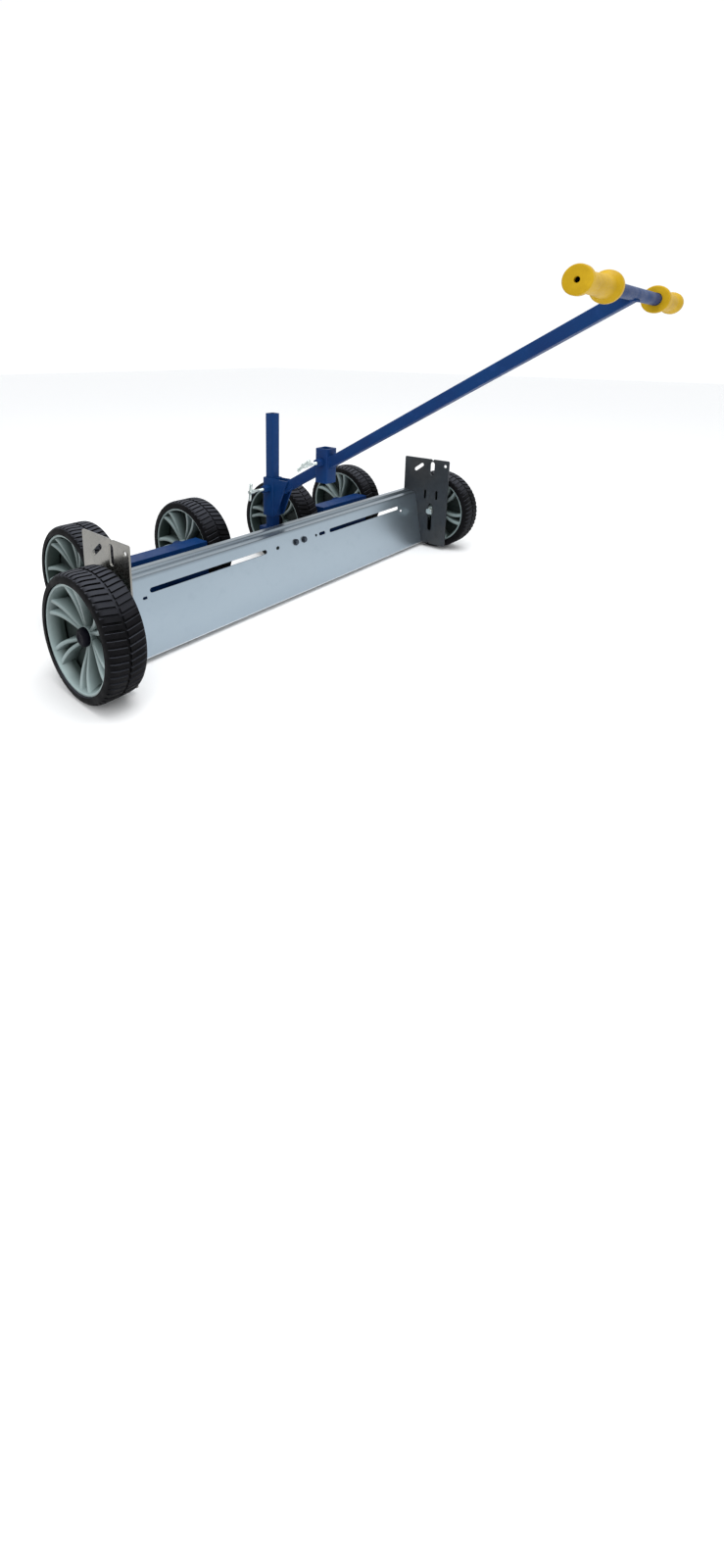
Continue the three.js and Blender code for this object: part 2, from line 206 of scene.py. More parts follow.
def thicken(path, thickness):
    """The closed outline of a strip this thick, on the left of a 2D path."""
    far_side = []
    for i, point in enumerate(path):
        along = (path[min(i + 1, len(path) - 1)] - path[max(i - 1, 0)]).normalized()
        far_side.append(point + Vector((-along.y, along.x)) * thickness)
    return list(path) + far_side[::-1]


def stadium(length, width, steps=8):
    """A slot's outline, with round ends, as 2D points."""
    straight, radius = (length - width) / 2, width / 2
    points = []
    for end in (1, -1):
        for k in range(steps + 1):
            angle = math.pi * (k / steps - 0.5) + (0 if end > 0 else math.pi)
            points.append((end * straight + radius * math.cos(angle), radius * math.sin(angle)))
    return points


def punch(mesh, cutters):
    """Cuts the cutters' solids out of a mesh."""
    tool_mesh = bpy.data.meshes.new("punch")
    joined = bmesh.new()
    for cutter in cutters:
        joined.from_mesh(cutter)
    joined.to_mesh(tool_mesh)
    joined.free()
    blank, tool = bpy.data.objects.new("blank", mesh), bpy.data.objects.new("punch", tool_mesh)
    for thing in (blank, tool):
        bpy.context.scene.collection.objects.link(thing)
    boolean = blank.modifiers.new("punch", "BOOLEAN")
    boolean.operation = "DIFFERENCE"
    boolean.solver = "EXACT"
    boolean.object = tool
    whole = blank.evaluated_get(bpy.context.evaluated_depsgraph_get())
    punched = bpy.data.meshes.new_from_object(whole)
    for thing in (blank, tool):
        bpy.data.objects.remove(thing)
    return soft_shade(punched)


class Finish:
    """A node material under construction: a Principled shader with helpers for its detail."""

    def __init__(self, name, colour, roughness, metallic=0.0, specular=0.5):
        self.material = bpy.data.materials.new(name)
        self.material.use_nodes = True
        self.nodes = self.material.node_tree.nodes
        self.links = self.material.node_tree.links
        self.shader = self.nodes["Principled BSDF"]
        self.shader.inputs["Metallic"].default_value = metallic
        self.shader.inputs["Specular IOR Level"].default_value = specular
        self.colour = (*colour, 1)
        self.shader.inputs["Base Color"].default_value = self.colour
        self.shader.inputs["Roughness"].default_value = roughness
        self.place = self.nodes.new("ShaderNodeTexCoord").outputs["Object"]

    def noise(self, scale, detail=4.0, stretch=(1, 1, 1), rough=0.55):
        """A noise field, stretched per axis."""
        mapping = self.nodes.new("ShaderNodeMapping")
        mapping.inputs["Scale"].default_value = stretch
        self.links.new(self.place, mapping.inputs["Vector"])
        field = self.nodes.new("ShaderNodeTexNoise")
        field.inputs["Scale"].default_value = scale
        field.inputs["Detail"].default_value = detail
        field.inputs["Roughness"].default_value = rough
        self.links.new(mapping.outputs["Vector"], field.inputs["Vector"])
        return field.outputs["Fac"]

    def along(self, axis):
        """The distance along one of the piece's own axes, in metres."""
        split = self.nodes.new("ShaderNodeSeparateXYZ")
        self.links.new(self.place, split.inputs["Vector"])
        return split.outputs[axis]

    def away(self, axis, centre=0.0):
        """The distance along an axis, either way, from a place on it."""
        offset = self.nodes.new("ShaderNodeMath")
        offset.operation = "SUBTRACT"
        offset.inputs[1].default_value = centre
        self.links.new(self.along(axis), offset.inputs[0])
        size = self.nodes.new("ShaderNodeMath")
        size.operation = "ABSOLUTE"
        self.links.new(offset.outputs["Value"], size.inputs[0])
        return size.outputs["Value"]

    def painted_top_light(self):
        """How far the surface faces up, for painting light onto top faces: 1 on top, 0 on a wall, -1
        underneath.
        """
        split = self.nodes.new("ShaderNodeSeparateXYZ")
        self.links.new(self.nodes.new("ShaderNodeNewGeometry").outputs["Normal"], split.inputs["Vector"])
        return split.outputs["Z"]

    def spread(self, field, low, high, from_low=0.3, from_high=0.7):
        """Brings a field's middle range to the range from low to high."""
        ranged = self.nodes.new("ShaderNodeMapRange")
        for socket, value in (("From Min", from_low), ("From Max", from_high),
                              ("To Min", low), ("To Max", high)):
            ranged.inputs[socket].default_value = value
        self.links.new(field, ranged.inputs["Value"])
        return ranged.outputs["Result"]

    def tint(self, field, other, low=0.0, high=1.0, from_low=0.4, from_high=0.7):
        """Blends the colour towards another one where the field is high."""
        mix = self.nodes.new("ShaderNodeMix")
        mix.data_type = "RGBA"
        self.links.new(self.spread(field, low, high, from_low, from_high), mix.inputs["Factor"])
        current = self.shader.inputs["Base Color"]
        if current.is_linked:
            self.links.new(current.links[0].from_socket, mix.inputs["A"])
        else:
            mix.inputs["A"].default_value = self.colour
        mix.inputs["B"].default_value = (*other, 1)
        self.links.new(mix.outputs["Result"], current)
        return self

    def gloss(self, field, low, high):
        """Varies the roughness between two values."""
        self.links.new(self.spread(field, low, high), self.shader.inputs["Roughness"])
        return self

    def bump(self, field, depth, strength=1.0):
        """Raises the surface by the field; depth is in metres."""
        raised = self.nodes.new("ShaderNodeBump")
        raised.inputs["Distance"].default_value = depth
        raised.inputs["Strength"].default_value = strength
        self.links.new(field, raised.inputs["Height"])
        normal = self.shader.inputs["Normal"]
        if normal.is_linked:
            self.links.new(normal.links[0].from_socket, raised.inputs["Normal"])
        self.links.new(raised.outputs["Normal"], normal)
        return self


hood_low, hood_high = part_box("front_hood")
sheet = 0.002
lip = 0.012
flange_depth = 0.022
step_height, step_run = 0.007, 0.0045
face_y = axle_y + 0.060                          # where the face meets the ledge
face_top = hood_high.z - step_height
step_y = hood_high.y - flange_depth              # where the ledge meets the step

bright_sheet = Finish("bright_sheet", (0.31, 0.375, 0.43), 0.3, metallic=0.9)
rolled = bright_sheet.noise(5, 2.0, (0.3, 1, 1))
drawn = bright_sheet.noise(800, 3.0, (0.02, 1, 1))
height = bright_sheet.along("Z")
bright_sheet.tint(rolled, (0.34, 0.405, 0.46), 0, 0.6, 0.45, 0.6)
bright_sheet.tint(bright_sheet.noise(38, 5.0), (0.27, 0.33, 0.385), 0, 0.3, 0.55, 0.75)
# Painted shade: the sheet is coloured darker above the face's top, over the ledge, and darker again up the
# step and on the flange.
bright_sheet.tint(height, (0.27, 0.32, 0.36), 0, 1, face_top - 0.004, face_top - 0.001)
bright_sheet.tint(height, (0.24, 0.28, 0.31), 0, 1, face_top + 0.004, face_top + 0.006)
# Painted highlight: the lowest few millimetres of the sheet, its rolled bottom edge and lip, are coloured
# near white against the dark floor that this edge reflects.
bright_sheet.tint(height, (0.85, 0.90, 0.94), 1, 0, hood_low.z + 0.0015, hood_low.z + 0.0035)
# Painted shade: thin dark lines coloured along the bends of the ledge and step.
for bend_y in (step_y, step_y + step_run + 0.001, face_y + 0.001):
    bright_sheet.tint(bright_sheet.away("Y", bend_y), (0.10, 0.12, 0.14), 0.75, 0, 0.0006, 0.0026)
bright_sheet.gloss(drawn, 0.28, 0.34)
bright_sheet.bump(rolled, 0.0006, 0.2)

hood_path = turn_corners([
    (hood_high.y, hood_high.z),
    (step_y + step_run, hood_high.z),
    (step_y, face_top),
    (face_y, face_top),
    (hood_low.y, hood_low.z),
    (hood_low.y + lip, hood_low.z),
], 0.0024)
hood_outline = thicken(hood_path, sheet)
hood_mesh = loft("front_hood", [
    [(x, y, z) for y, z in hood_outline] for x in (hood_low.x, hood_high.x)], capped=True)

slot_z = middle("hood_bolt_left").z
slot_start, slot_end, slot_height = 0.126, 0.478, 0.011
slot_middle, slot_length = (slot_start + slot_end) / 2, slot_end - slot_start
holes = [(side * slot_middle, 0, slot_length, slot_height) for side in (-1, 1)]
holes += [(side * 0.492, -0.012, 0.012, 0.006) for side in (-1, 1)]
holes += [(x, 0, 0.018, 0.0155) for x in (middle("hood_bolt_left").x, middle("hood_bolt_right").x)]
holes += [(-0.086, 0, 0.012, 0.0089), (0.067, 0, 0.008, 0.0079), (0.093, 0, 0.026, 0.009)]
hood_mesh = punch(hood_mesh, [
    loft("punch", [
        [(x + u, y, slot_z + z + v) for u, v in stadium(length, height)]
        for y in (hood_low.y - 0.01, face_y + 0.02)
    ], capped=True) for x, z, length, height in holes])
break_edges(add_piece("polished_hood", hood_mesh, bright_sheet.material, "chassis",
                      "hood_steel", "front_hood"), 0.0004)


# ---- End plates --------------------------------------------------------------------------------
# Flat steel, cut alike by laser: an axle slot low down, slots for other fittings above, and a
# sighting notch top and bottom. The left one is bright; the right one is the same steel, coloured
# dark as painted shade.

plate_low, plate_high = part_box("end_plate_right")
plate_corner = 0.004
notch, notch_depth = 0.004, 0.006


def plate_outline():
    """The plate's outline in (y, z), with rounded corners and two V notches."""
    low_y, high_y, low_z, high_z = plate_low.y, plate_high.y, plate_low.z, plate_high.z
    corners = turn_corners(
        [(low_y, low_z), (high_y, low_z), (high_y, high_z), (low_y, high_z)],
        plate_corner, closed=True)
    outline = []
    for i, point in enumerate(corners):
        outline.append(point)
        after = corners[(i + 1) % len(corners)]
        if (after - point).length > 0.1 and abs(after.y - point.y) < 0.001:
            inward = 1 if point.y < 0.1 else -1
            order = (-1, 0, 1) if after.x > point.x else (1, 0, -1)
            for step in order:
                depth = notch_depth if step == 0 else 0
                outline.append(Vector((axle_y + step * notch, point.y + inward * depth)))
    return outline


plate_slots = [                                  # y from the axle, z, length, width, lean
    (0, 0.106, 0.092, 0.014, 0), (0, 0.270, 0.044, 0.015, 0),
    (0.022, 0.181, 0.030, 0.008, 0), (-0.020, 0.183, 0.030, 0.008, 0),
    (-0.046, 0.283, 0.010, 0.0099, 0), (0.050, 0.270, 0.040, 0.011, 0.92),
]


def slot_through(x_near, x_far, y, z, length, width, lean):
    """The solid that punches one leaning slot through a plate that faces along X."""
    outline = []
    for u, v in stadium(length, width):
        outline.append((y - u * math.sin(lean) - v * math.cos(lean),
                        z + u * math.cos(lean) - v * math.sin(lean)))
    return loft("punch", [[(x, *point) for point in outline] for x in (x_near, x_far)], capped=True)


def mill_steel(name, colour, bloom, stain, roughness, metallic=0.85):
    """Hot-rolled plate: blotchy, lightly scratched, with a darker stain here and there."""
    steel = Finish(name, colour, roughness, metallic=metallic)
    steel.tint(steel.noise(14, 5.0), bloom, 0, 0.8, 0.45, 0.65)
    steel.tint(steel.noise(70, 6.0), stain, 0, 0.5, 0.55, 0.75)
    steel.gloss(steel.noise(40, 4.0), roughness - 0.05, roughness + 0.08)
    steel.bump(steel.noise(420, 3.0, (1, 1, 0.15)), 0.00003, 0.4)
    return steel.material


# The right plate is the same steel as the left one, coloured dark as painted shade.
plate_finish = {
    "left": mill_steel("bright_plate", (0.21, 0.205, 0.19), (0.26, 0.25, 0.23), (0.14, 0.14, 0.14),
                       0.24, 0.95),
    "right": mill_steel("shade_painted_plate", (0.038, 0.044, 0.051), (0.052, 0.055, 0.057),
                        (0.026, 0.029, 0.033), 0.34, 0.5),
}
for side in ("left", "right"):
    low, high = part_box(f"end_plate_{side}")
    blank = loft(f"end_plate_{side}", [
        [(x, *point) for point in plate_outline()] for x in (low.x, high.x)], capped=True)
    cut_plate = punch(blank, [
        slot_through(low.x - 0.01, high.x + 0.01, axle_y + y, *rest) for y, *rest in plate_slots])
    break_edges(add_piece(f"slotted_plate_{side}", cut_plate, plate_finish[side], "chassis",
                          "plate_steel", f"end_plate_{side}"), 0.0005)


# ---- Front axle bolts --------------------------------------------------------------------------
# Half-inch zinc bolts: a hexagon head against the inside of the plate, a washer against the
# outside, and a long smooth shank on which the wheel turns.

def turned(name, profile, segments=48, centre=(0, 0, 0), closed=True):
    """A profile of (x, radius) points turned about an axis along X."""
    rings = []
    for k in range(segments):
        angle = 2 * math.pi * k / segments
        rings.append([(centre[0] + x, centre[1] + radius * math.cos(angle),
                       centre[2] + radius * math.sin(angle)) for x, radius in profile])
    count = len(profile)
    faces = []
    for i in range(segments):
        here, there = i * count, (i + 1) % segments * count
        for k in range(count if closed else count - 1):
            after = (k + 1) % count
            faces.append((here + k, there + k, there + after, here + after))
    mesh = bpy.data.meshes.new(name)
    mesh.from_pydata([point for ring in rings for point in ring], [], faces)
    work = bmesh.new()
    work.from_mesh(mesh)
    bmesh.ops.remove_doubles(work, verts=work.verts, dist=0.000005)
    bmesh.ops.dissolve_degenerate(work, edges=work.edges, dist=0.000001)
    work.to_mesh(mesh)
    work.free()
    return soft_shade(mesh)


def hexagon_head(across, height, chamfer, x0, way, centre):
    """A bolt head along X: a hexagonal prism with its outer corners turned off."""
    corner = across / math.sqrt(3)
    face = across / 2
    rings = []
    for x, turned_off in ((x0, False), (x0 + way * (height - chamfer), False),
                          (x0 + way * height, True)):
        ring = []
        for k in range(48):
            angle = 2 * math.pi * k / 48
            within = (angle + math.pi / 6) % (math.pi / 3) - math.pi / 6
            flat = face / math.cos(within)
            radius = min(flat, face * 0.98 if turned_off else corner)
            ring.append((x, centre[1] + radius * math.cos(angle), centre[2] + radius * math.sin(angle)))
        rings.append(ring)
    return loft("head", rings, capped=True)


def join_meshes(name, meshes):
    """One mesh from several."""
    work = bmesh.new()
    for mesh in meshes:
        work.from_mesh(mesh)
    joined = bpy.data.meshes.new(name)
    work.to_mesh(joined)
    work.free()
    return soft_shade(joined)


zinc_plate = Finish("zinc_plate", (0.62, 0.68, 0.65), 0.3, metallic=0.9)
zinc_plate.tint(zinc_plate.noise(90, 4.0), (0.48, 0.55, 0.54), 0, 0.8, 0.45, 0.65)
zinc_plate.gloss(zinc_plate.noise(160, 3.0), 0.24, 0.42)
zinc_plate.bump(zinc_plate.noise(700, 2.0), 0.00004, 0.4)
zinc = zinc_plate.material

axle_radius = 0.00635
gap = 0.0003                                     # left between pieces that touch
for side, way in (("left", -1), ("right", 1)):
    low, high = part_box(f"front_axle_{side}")
    outer = low.x if way < 0 else high.x
    plate_inner = way * (plate_low.x - gap)
    plate_outer = way * (plate_high.x + gap)
    centre = (0, axle_y, middle(f"front_axle_{side}").z)
    shank = turned("shank", [
        (plate_inner, 0.0), (plate_inner, axle_radius), (outer - way * 0.0012, axle_radius),
        (outer, 0.0051), (outer, 0.0)], 40, centre, closed=False)
    washer = turned("washer", [
        (plate_outer, 0.0066), (plate_outer, 0.0138), (plate_outer + way * 0.0004, 0.014),
        (plate_outer + way * 0.0033, 0.014), (plate_outer + way * 0.0037, 0.0138),
        (plate_outer + way * 0.0037, 0.0066)], 40, centre)
    head = hexagon_head(0.0190, 0.0088, 0.0014, plate_inner, -way, centre)
    bolt = join_meshes(f"front_axle_{side}", [shank, washer, head])
    add_piece(f"axle_bolt_{side}", bolt, zinc, f"front_{side}_axle", "zinc", f"front_axle_{side}")


# ---- Magnet channel, magnets and hidden frame --------------------------------------------------
# Behind the hood: the extruded channel that holds the ferrite bar, and the blue cross tube with
# the mast's foot and the two links. All are plain sawn stock, welded or bolted up.

powder = Finish("blue_powder_coat", (0.0025, 0.029, 0.115), 0.42, specular=0.10)
powder.tint(powder.noise(9, 3.0), (0.004, 0.023, 0.098), 0, 0.9, 0.42, 0.62)
powder.tint(powder.noise(60, 6.0), (0.009, 0.040, 0.155), 0, 0.5, 0.56, 0.72)
powder.gloss(powder.noise(45, 4.0), 0.34, 0.52)
powder.bump(powder.noise(620, 2.0), 0.00012, 0.45)
blue_paint = powder.material

extrusion = Finish("plain_extrusion", (0.30, 0.31, 0.33), 0.45, metallic=0.85)
extrusion.tint(extrusion.noise(30, 5.0, (0.1, 1, 1)), (0.2, 0.21, 0.22), 0, 0.8)
extrusion.gloss(extrusion.noise(120, 3.0, (0.05, 1, 1)), 0.38, 0.58)
extrusion.bump(extrusion.noise(500, 2.0, (0.03, 1, 1)), 0.0001, 0.5)

ferrite = Finish("ferrite", (0.030, 0.030, 0.034), 0.7, metallic=0.15)
ferrite.tint(ferrite.noise(110, 6.0), (0.055, 0.052, 0.05), 0, 0.8)
ferrite.gloss(ferrite.noise(60, 3.0), 0.6, 0.85)
ferrite.bump(ferrite.noise(380, 5.0), 0.0003, 0.5)


def refinish(node, material, edge=0.0):
    """Keeps a CAD node, with its own finish and, where edge is given, broken edges."""
    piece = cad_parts[node]
    piece.data.materials.clear()
    piece.data.materials.append(material)
    if edge:
        break_edges(piece, edge)


refinish("front_magnet_channel", extrusion.material, 0.0006)
for node in ("front_magnet_bar", "rear_left_magnet_bar", "rear_right_magnet_bar"):
    refinish(node, ferrite.material, 0.0008)
for node in ("cross_tube", "mast_foot", "rear_left_link", "rear_right_link"):
    refinish(node, blue_paint, 0.0012)


# ---- Hood bolts --------------------------------------------------------------------------------
# Two blackened hexagon bolts that draw the middle of the hood back against the cross tube.

blackened = mill_steel("blackened_bolt", (0.030, 0.040, 0.055), (0.045, 0.055, 0.070),
                       (0.020, 0.025, 0.030), 0.4, 0.7)
for side in ("left", "right"):
    low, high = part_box(f"hood_bolt_{side}")
    centre = (low + high) / 2
    shank = turned("shank", [
        (0.0, 0.0), (0.0, 0.0040), (high.y - low.y - 0.004, 0.0040),
        (high.y - low.y - 0.004, 0.0)], 24, closed=False)
    washer = turned("washer", [
        (-0.0006, 0.0041), (-0.0006, 0.0088), (0.0006, 0.0088), (0.0006, 0.0041)], 32)
    head = hexagon_head(0.0112, 0.0045, 0.0009, 0.0, -1, (0, 0, 0))
    bolt = join_meshes(f"hood_bolt_{side}", [shank, washer, head])
    bolt.transform(Matrix.Translation((centre.x, low.y + 0.0045, centre.z))
                   @ Matrix.Rotation(math.radians(90), 4, "Z"))
    add_piece(f"hood_screw_{side}", bolt, blackened, "chassis", "zinc", f"hood_bolt_{side}")


# ---- Wheels ------------------------------------------------------------------------------------
# Six 10 inch wheels, moulded alike: a solid rubber tyre with chevron bars, pressed on a grey-green
# rim with a dished outer face and paired blade ribs, and a black cap pushed over the axle's end.

tyre_low, tyre_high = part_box("front_left_tyre")
tyre_radius = (tyre_high.z - tyre_low.z) / 2
tyre_half = (tyre_high.x - tyre_low.x) / 2
bars, bar_share, bar_depth = 56, 0.62, 0.0038
seat_radius = 0.1079


def tyre_mesh():
    """The tyre: bead, thin wall, rounded shoulder, and chevron bars split by a middle groove."""
    wall = [(-tyre_half, seat_radius + 0.0002), (-tyre_half, 0.1125),
            (-tyre_half + 0.0004, 0.1178), (-tyre_half + 0.0022, 0.1215)]
    tread = [(-0.0352, 0.1242), (-0.0310, 0.1262), (-0.0240, tyre_radius), (-0.0130, tyre_radius),
             (-0.0030, tyre_radius), (-0.0022, tyre_radius - 0.003)]
    across = [(x, radius, 0.0) for x, radius in wall]
    across += [(x, radius, 1.0 if abs(x) > 0.0025 else 0.0) for x, radius in tread]
    across += [(-x, radius, cut) for x, radius, cut in reversed(across)]
    points, faces = [], []
    steps = [0.0, bar_share, bar_share + 0.07, 0.93]
    for bar in range(bars):
        for k, share in enumerate(steps):
            low_here = k in (2, 3)
            for x, radius, cut in across:
                lean = 0.55 * (1 - abs(x) / tyre_half)
                angle = 2 * math.pi * (bar + share + lean) / bars
                depth = bar_depth if abs(x) < 0.033 else bar_depth * 0.55
                r = radius - (cut * depth if low_here else 0)
                points.append((x, r * math.cos(angle), r * math.sin(angle)))
    count, turns = len(across), bars * len(steps)
    for i in range(turns):
        here, there = i * count, (i + 1) % turns * count
        for k in range(count):
            after = (k + 1) % count
            faces.append((here + k, there + k, there + after, here + after))
    mesh = bpy.data.meshes.new("tyre")
    mesh.from_pydata(points, [], faces)
    return soft_shade(mesh, 40)


def arc_profile(points, radius, steps=3):
    """A closed (x, radius) profile with softened corners."""
    return [tuple(point) for point in turn_corners(points, radius, steps, closed=True)]


rim_half = tyre_half - 0.003
hub_low, hub_high = -0.014, 0.034
rib_pairs, rib_turn = 6, 0.148
lip_radius, floor_radius = 0.1028, 0.0930


def blade(side, inboard):
    """One curved blade rib, from the hub to the barrel's lip, thicker at its foot."""
    rings = []
    steps = 14
    root, tip = 0.0165, lip_radius + 0.0015
    for k in range(steps + 1):
        share = k / steps
        radius = root + (tip - root) * share
        if inboard:
            crest = 0.0270 + 0.0090 * share
            foot = 0.0025
        else:
            crest = hub_low + 0.002 - (rim_half - 0.0010 + hub_low) * share ** 1.1
            foot = -0.0025
        swirl = 0.10 * math.sin(math.pi * share) * (-1 if inboard else 1)
        angle = side * rib_turn * (0.75 + 0.25 * share) + swirl
        thick = 0.0036 + 0.0016 * share
        out = Vector((0, math.cos(angle), math.sin(angle))) * radius
        across = Vector((0, -math.sin(angle), math.cos(angle)))
        along = Vector((1, 0, 0))
        sign = -1 if crest < foot else 1
        ring = []
        for offset, x in ((-1.35, foot), (-1.0, crest - sign * 0.0030), (-0.72, crest - sign * 0.0009),
                          (0.0, crest), (0.72, crest - sign * 0.0009), (1.0, crest - sign * 0.0030),
                          (1.35, foot)):
            ring.append(tuple(out + across * (offset * thick) + along * x))
        rings.append(ring)
    return loft("blade", rings, capped=True)


def rim_mesh():
    """The moulded rim. Its web, between the ribs, is coloured dark as painted shade in the deep pockets.
    """
    web = 0.003
    barrel = turned("barrel", arc_profile([
        (-rim_half, 0.1076), (-rim_half, lip_radius), (-rim_half + 0.006, lip_radius - 0.0022),
        (-web - 0.004, floor_radius), (-web - 0.004, 0.1040), (web + 0.004, 0.1040),
        (web + 0.004, floor_radius), (rim_half - 0.006, lip_radius - 0.0022),
        (rim_half, lip_radius), (rim_half, 0.1076),
    ], 0.0011), 96)
    hub = turned("hub", arc_profile([
        (hub_low, 0.0067), (hub_low, 0.0200), (hub_high, 0.0200), (hub_high, 0.0067)], 0.0012), 40)
    core = turned("core", [
        (-web, 0.016), (-web, 0.1042), (web, 0.1042), (web, 0.016)], 96)
    blades = []
    for pair in range(rib_pairs):
        for side in (-1, 1):
            for inboard in (False, True):
                rib = blade(side, inboard)
                rib.transform(Matrix.Rotation(2 * math.pi * pair / rib_pairs, 4, "X"))
                blades.append(rib)
    ribs = join_meshes("ribs", [hub, *blades])
    for i, mesh in enumerate((ribs, barrel, core)):
        for face in mesh.polygons:
            face.material_index = i
    return join_meshes("rim", [ribs, barrel, core])


rubber = Finish("tyre_rubber", (0.0016, 0.0016, 0.0022), 0.6, specular=0.07)
rubber.tint(rubber.noise(22, 5.0), (0.0050, 0.0048, 0.0060), 0, 0.8, 0.45, 0.7)
rubber.tint(rubber.noise(120, 6.0), (0.016, 0.015, 0.018), 0, 0.35, 0.58, 0.75)
# Painted top light: faces of the tyre that point up are coloured lighter, as its lit top.
rubber.tint(rubber.painted_top_light(), (0.048, 0.051, 0.062), 0, 1, 0.5, 1.0)
rubber.gloss(rubber.noise(60, 4.0), 0.5, 0.74)
rubber.bump(rubber.noise(900, 3.0), 0.00018, 0.5)


def rim_plastic(name, recess_shade, near, far):
    """Grey-green filled nylon, coloured lighter where it faces up, a painted top light, and darker towards
    the wheel's middle plane, a painted shade deep in the rim: at its given strength within near of the
    middle, gone beyond far.
    """
    moulded = Finish(name, (0.15, 0.19, 0.19), 0.4, metallic=0.15, specular=0.3)
    moulded.tint(moulded.noise(24, 4.0), (0.20, 0.24, 0.24), 0, 0.8, 0.42, 0.65)
    moulded.tint(moulded.noise(90, 6.0), (0.10, 0.13, 0.13), 0, 0.4, 0.58, 0.75)
    # Painted top light: faces of the rim that point up are coloured lighter.
    moulded.tint(moulded.painted_top_light(), (0.34, 0.43, 0.43), 0, 1, -0.25, 0.7)
    # Painted shade: the rim darkens towards its middle plane, deep in the wheel.
    moulded.tint(moulded.away("X"), (0.018, 0.030, 0.026), recess_shade, 0, near, far)
    moulded.gloss(moulded.noise(50, 4.0), 0.3, 0.48)
    moulded.bump(moulded.noise(520, 2.0), 0.00008, 0.4)
    return moulded.material


# Painted shade: the web between the ribs is coloured near black, as the deep pockets look in shade.
web_shade_plastic = Finish("shade_painted_web", (0.010, 0.016, 0.015), 0.55, specular=0.2)
web_shade_plastic.tint(web_shade_plastic.noise(40, 5.0), (0.022, 0.032, 0.029), 0, 0.7)
web_shade_plastic.gloss(web_shade_plastic.noise(60, 3.0), 0.5, 0.7)
web_shade_plastic.bump(web_shade_plastic.noise(400, 3.0), 0.0001, 0.5)

black_plastic = Finish("black_cap", (0.001, 0.001, 0.004), 0.5, specular=0.06)
black_plastic.tint(black_plastic.noise(150, 4.0), (0.003, 0.003, 0.006), 0, 0.8)
black_plastic.gloss(black_plastic.noise(90, 3.0), 0.45, 0.62)
black_plastic.bump(black_plastic.noise(700, 2.0), 0.00008, 0.4)

cap_base = hub_low - gap
cap_profile = [
    (cap_base, 0.0090), (cap_base, 0.0180), (cap_base - 0.0006, 0.0188), (cap_base - 0.0020, 0.0190),
    (cap_base - 0.0060, 0.0182), (cap_base - 0.0090, 0.0166), (cap_base - 0.0108, 0.0142),
    (cap_base - 0.0117, 0.0110), (cap_base - 0.0112, 0.0078), (cap_base - 0.0104, 0.0066),
    (cap_base - 0.0106, 0.0030), (cap_base - 0.0106, 0.0), (cap_base - 0.0080, 0.0),
    (cap_base - 0.0080, 0.0090)]

tyre = tyre_mesh()
tyre.materials.append(rubber.material)
rim = rim_mesh()
# A second rim for the rear wheels: the same nylon, with deeper painted shade that reaches further out from
# the middle.
shaded_rim_copy = rim.copy()
for mesh, ribs_finish, barrel_finish in (
        (rim, rim_plastic("rim_ribs", 0.75, 0.004, 0.030), rim_plastic("rim_barrel", 0.97, 0.014, 0.036)),
        (shaded_rim_copy, rim_plastic("shaded_ribs", 0.85, 0.010, 0.036),
         rim_plastic("shaded_barrel", 0.97, 0.0335, 0.0372))):
    mesh.materials.append(ribs_finish)
    mesh.materials.append(barrel_finish)
    mesh.materials.append(web_shade_plastic.material)
cap = turned("cap", cap_profile, 48, closed=False)
cap.materials.append(black_plastic.material)

wheels = {                                       # name: outward side, turn of the ribs
    "front_left": (-1, 0.37), "front_right": (1, 0.9), "rear_1": (-1, 0.9),
    "rear_2": (1, 0.15), "rear_3": (-1, 0.1), "rear_4": (1, 0.5),
}
for wheel_name, (outward, turn) in wheels.items():
    stand = (Matrix.Translation(middle(f"{wheel_name}_tyre"))
             @ Matrix.Rotation(0 if outward < 0 else math.pi, 4, "Z"))
    # The rear wheels take the rim with the deeper painted shade.
    own_rim = rim if wheel_name == "front_left" else shaded_rim_copy
    for part, mesh, slot_name in (("tyre", tyre, "tyre"), ("rim", own_rim, "rim"), ("cap", cap, "cap")):
        turned_mesh = mesh.copy()
        turned_mesh.transform(Matrix.Rotation(turn, 4, "X"))
        add_piece(f"{wheel_name}_wheel_{part}", turned_mesh, None, f"{wheel_name}_wheel",
                  slot_name, f"{wheel_name}_{part}", place=stand)


# ---- Rear magnet boxes -------------------------------------------------------------------------
# Two folded and welded blue boxes, open underneath, each with a wheel arm at both ends and a
# zinc axle through the arms.

for side in ("left", "right"):
    refinish(f"rear_{side}_magnet_box", blue_paint, 0.0014)
    for end in ("inner", "outer"):
        refinish(f"rear_{side}_arm_{end}", blue_paint, 0.0007)
    low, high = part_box(f"rear_{side}_axle")
    axle = turned(f"rear_{side}_axle", [
        (low.x, 0.0), (low.x, 0.0052), (low.x + 0.0012, axle_radius),
        (high.x - 0.0012, axle_radius), (high.x, 0.0052), (high.x, 0.0)],
        40, (0, *middle(f"rear_{side}_axle").yz), closed=False)
    add_piece(f"rear_{side}_axle_rod", axle, zinc, "chassis", "zinc", f"rear_{side}_axle")


# ---- Mast --------------------------------------------------------------------------------------
# A length of 1 inch class square steel tube, welded upright on its foot and powder coated.

def square_ring(side, radius, steps=4):
    """A rounded square in 2D, centred on the origin."""
    half = side / 2
    return turn_corners([(-half, -half), (half, -half), (half, half), (-half, half)],
                        radius, steps, closed=True)


def upright_tube(name, centre, side, bore, low_z, high_z, corner=0.003):
    """A square tube along Z, with rounded corners and slightly rounded rims."""
    rings = []
    rim = 0.0005
    for size, z in ((side - 2 * rim, low_z), (side, low_z + rim), (side, high_z - rim),
                    (side - 2 * rim, high_z), (bore + 2 * rim, high_z), (bore, high_z - rim),
                    (bore, low_z + rim), (bore + 2 * rim, low_z)):
        radius = corner if size > bore + 0.002 else max(corner - (side - bore) / 2, 0.0008)
        rings.append([(centre.x + u, centre.y + v, z) for u, v in square_ring(size, radius)])
    return loft(name, rings, closed=True)


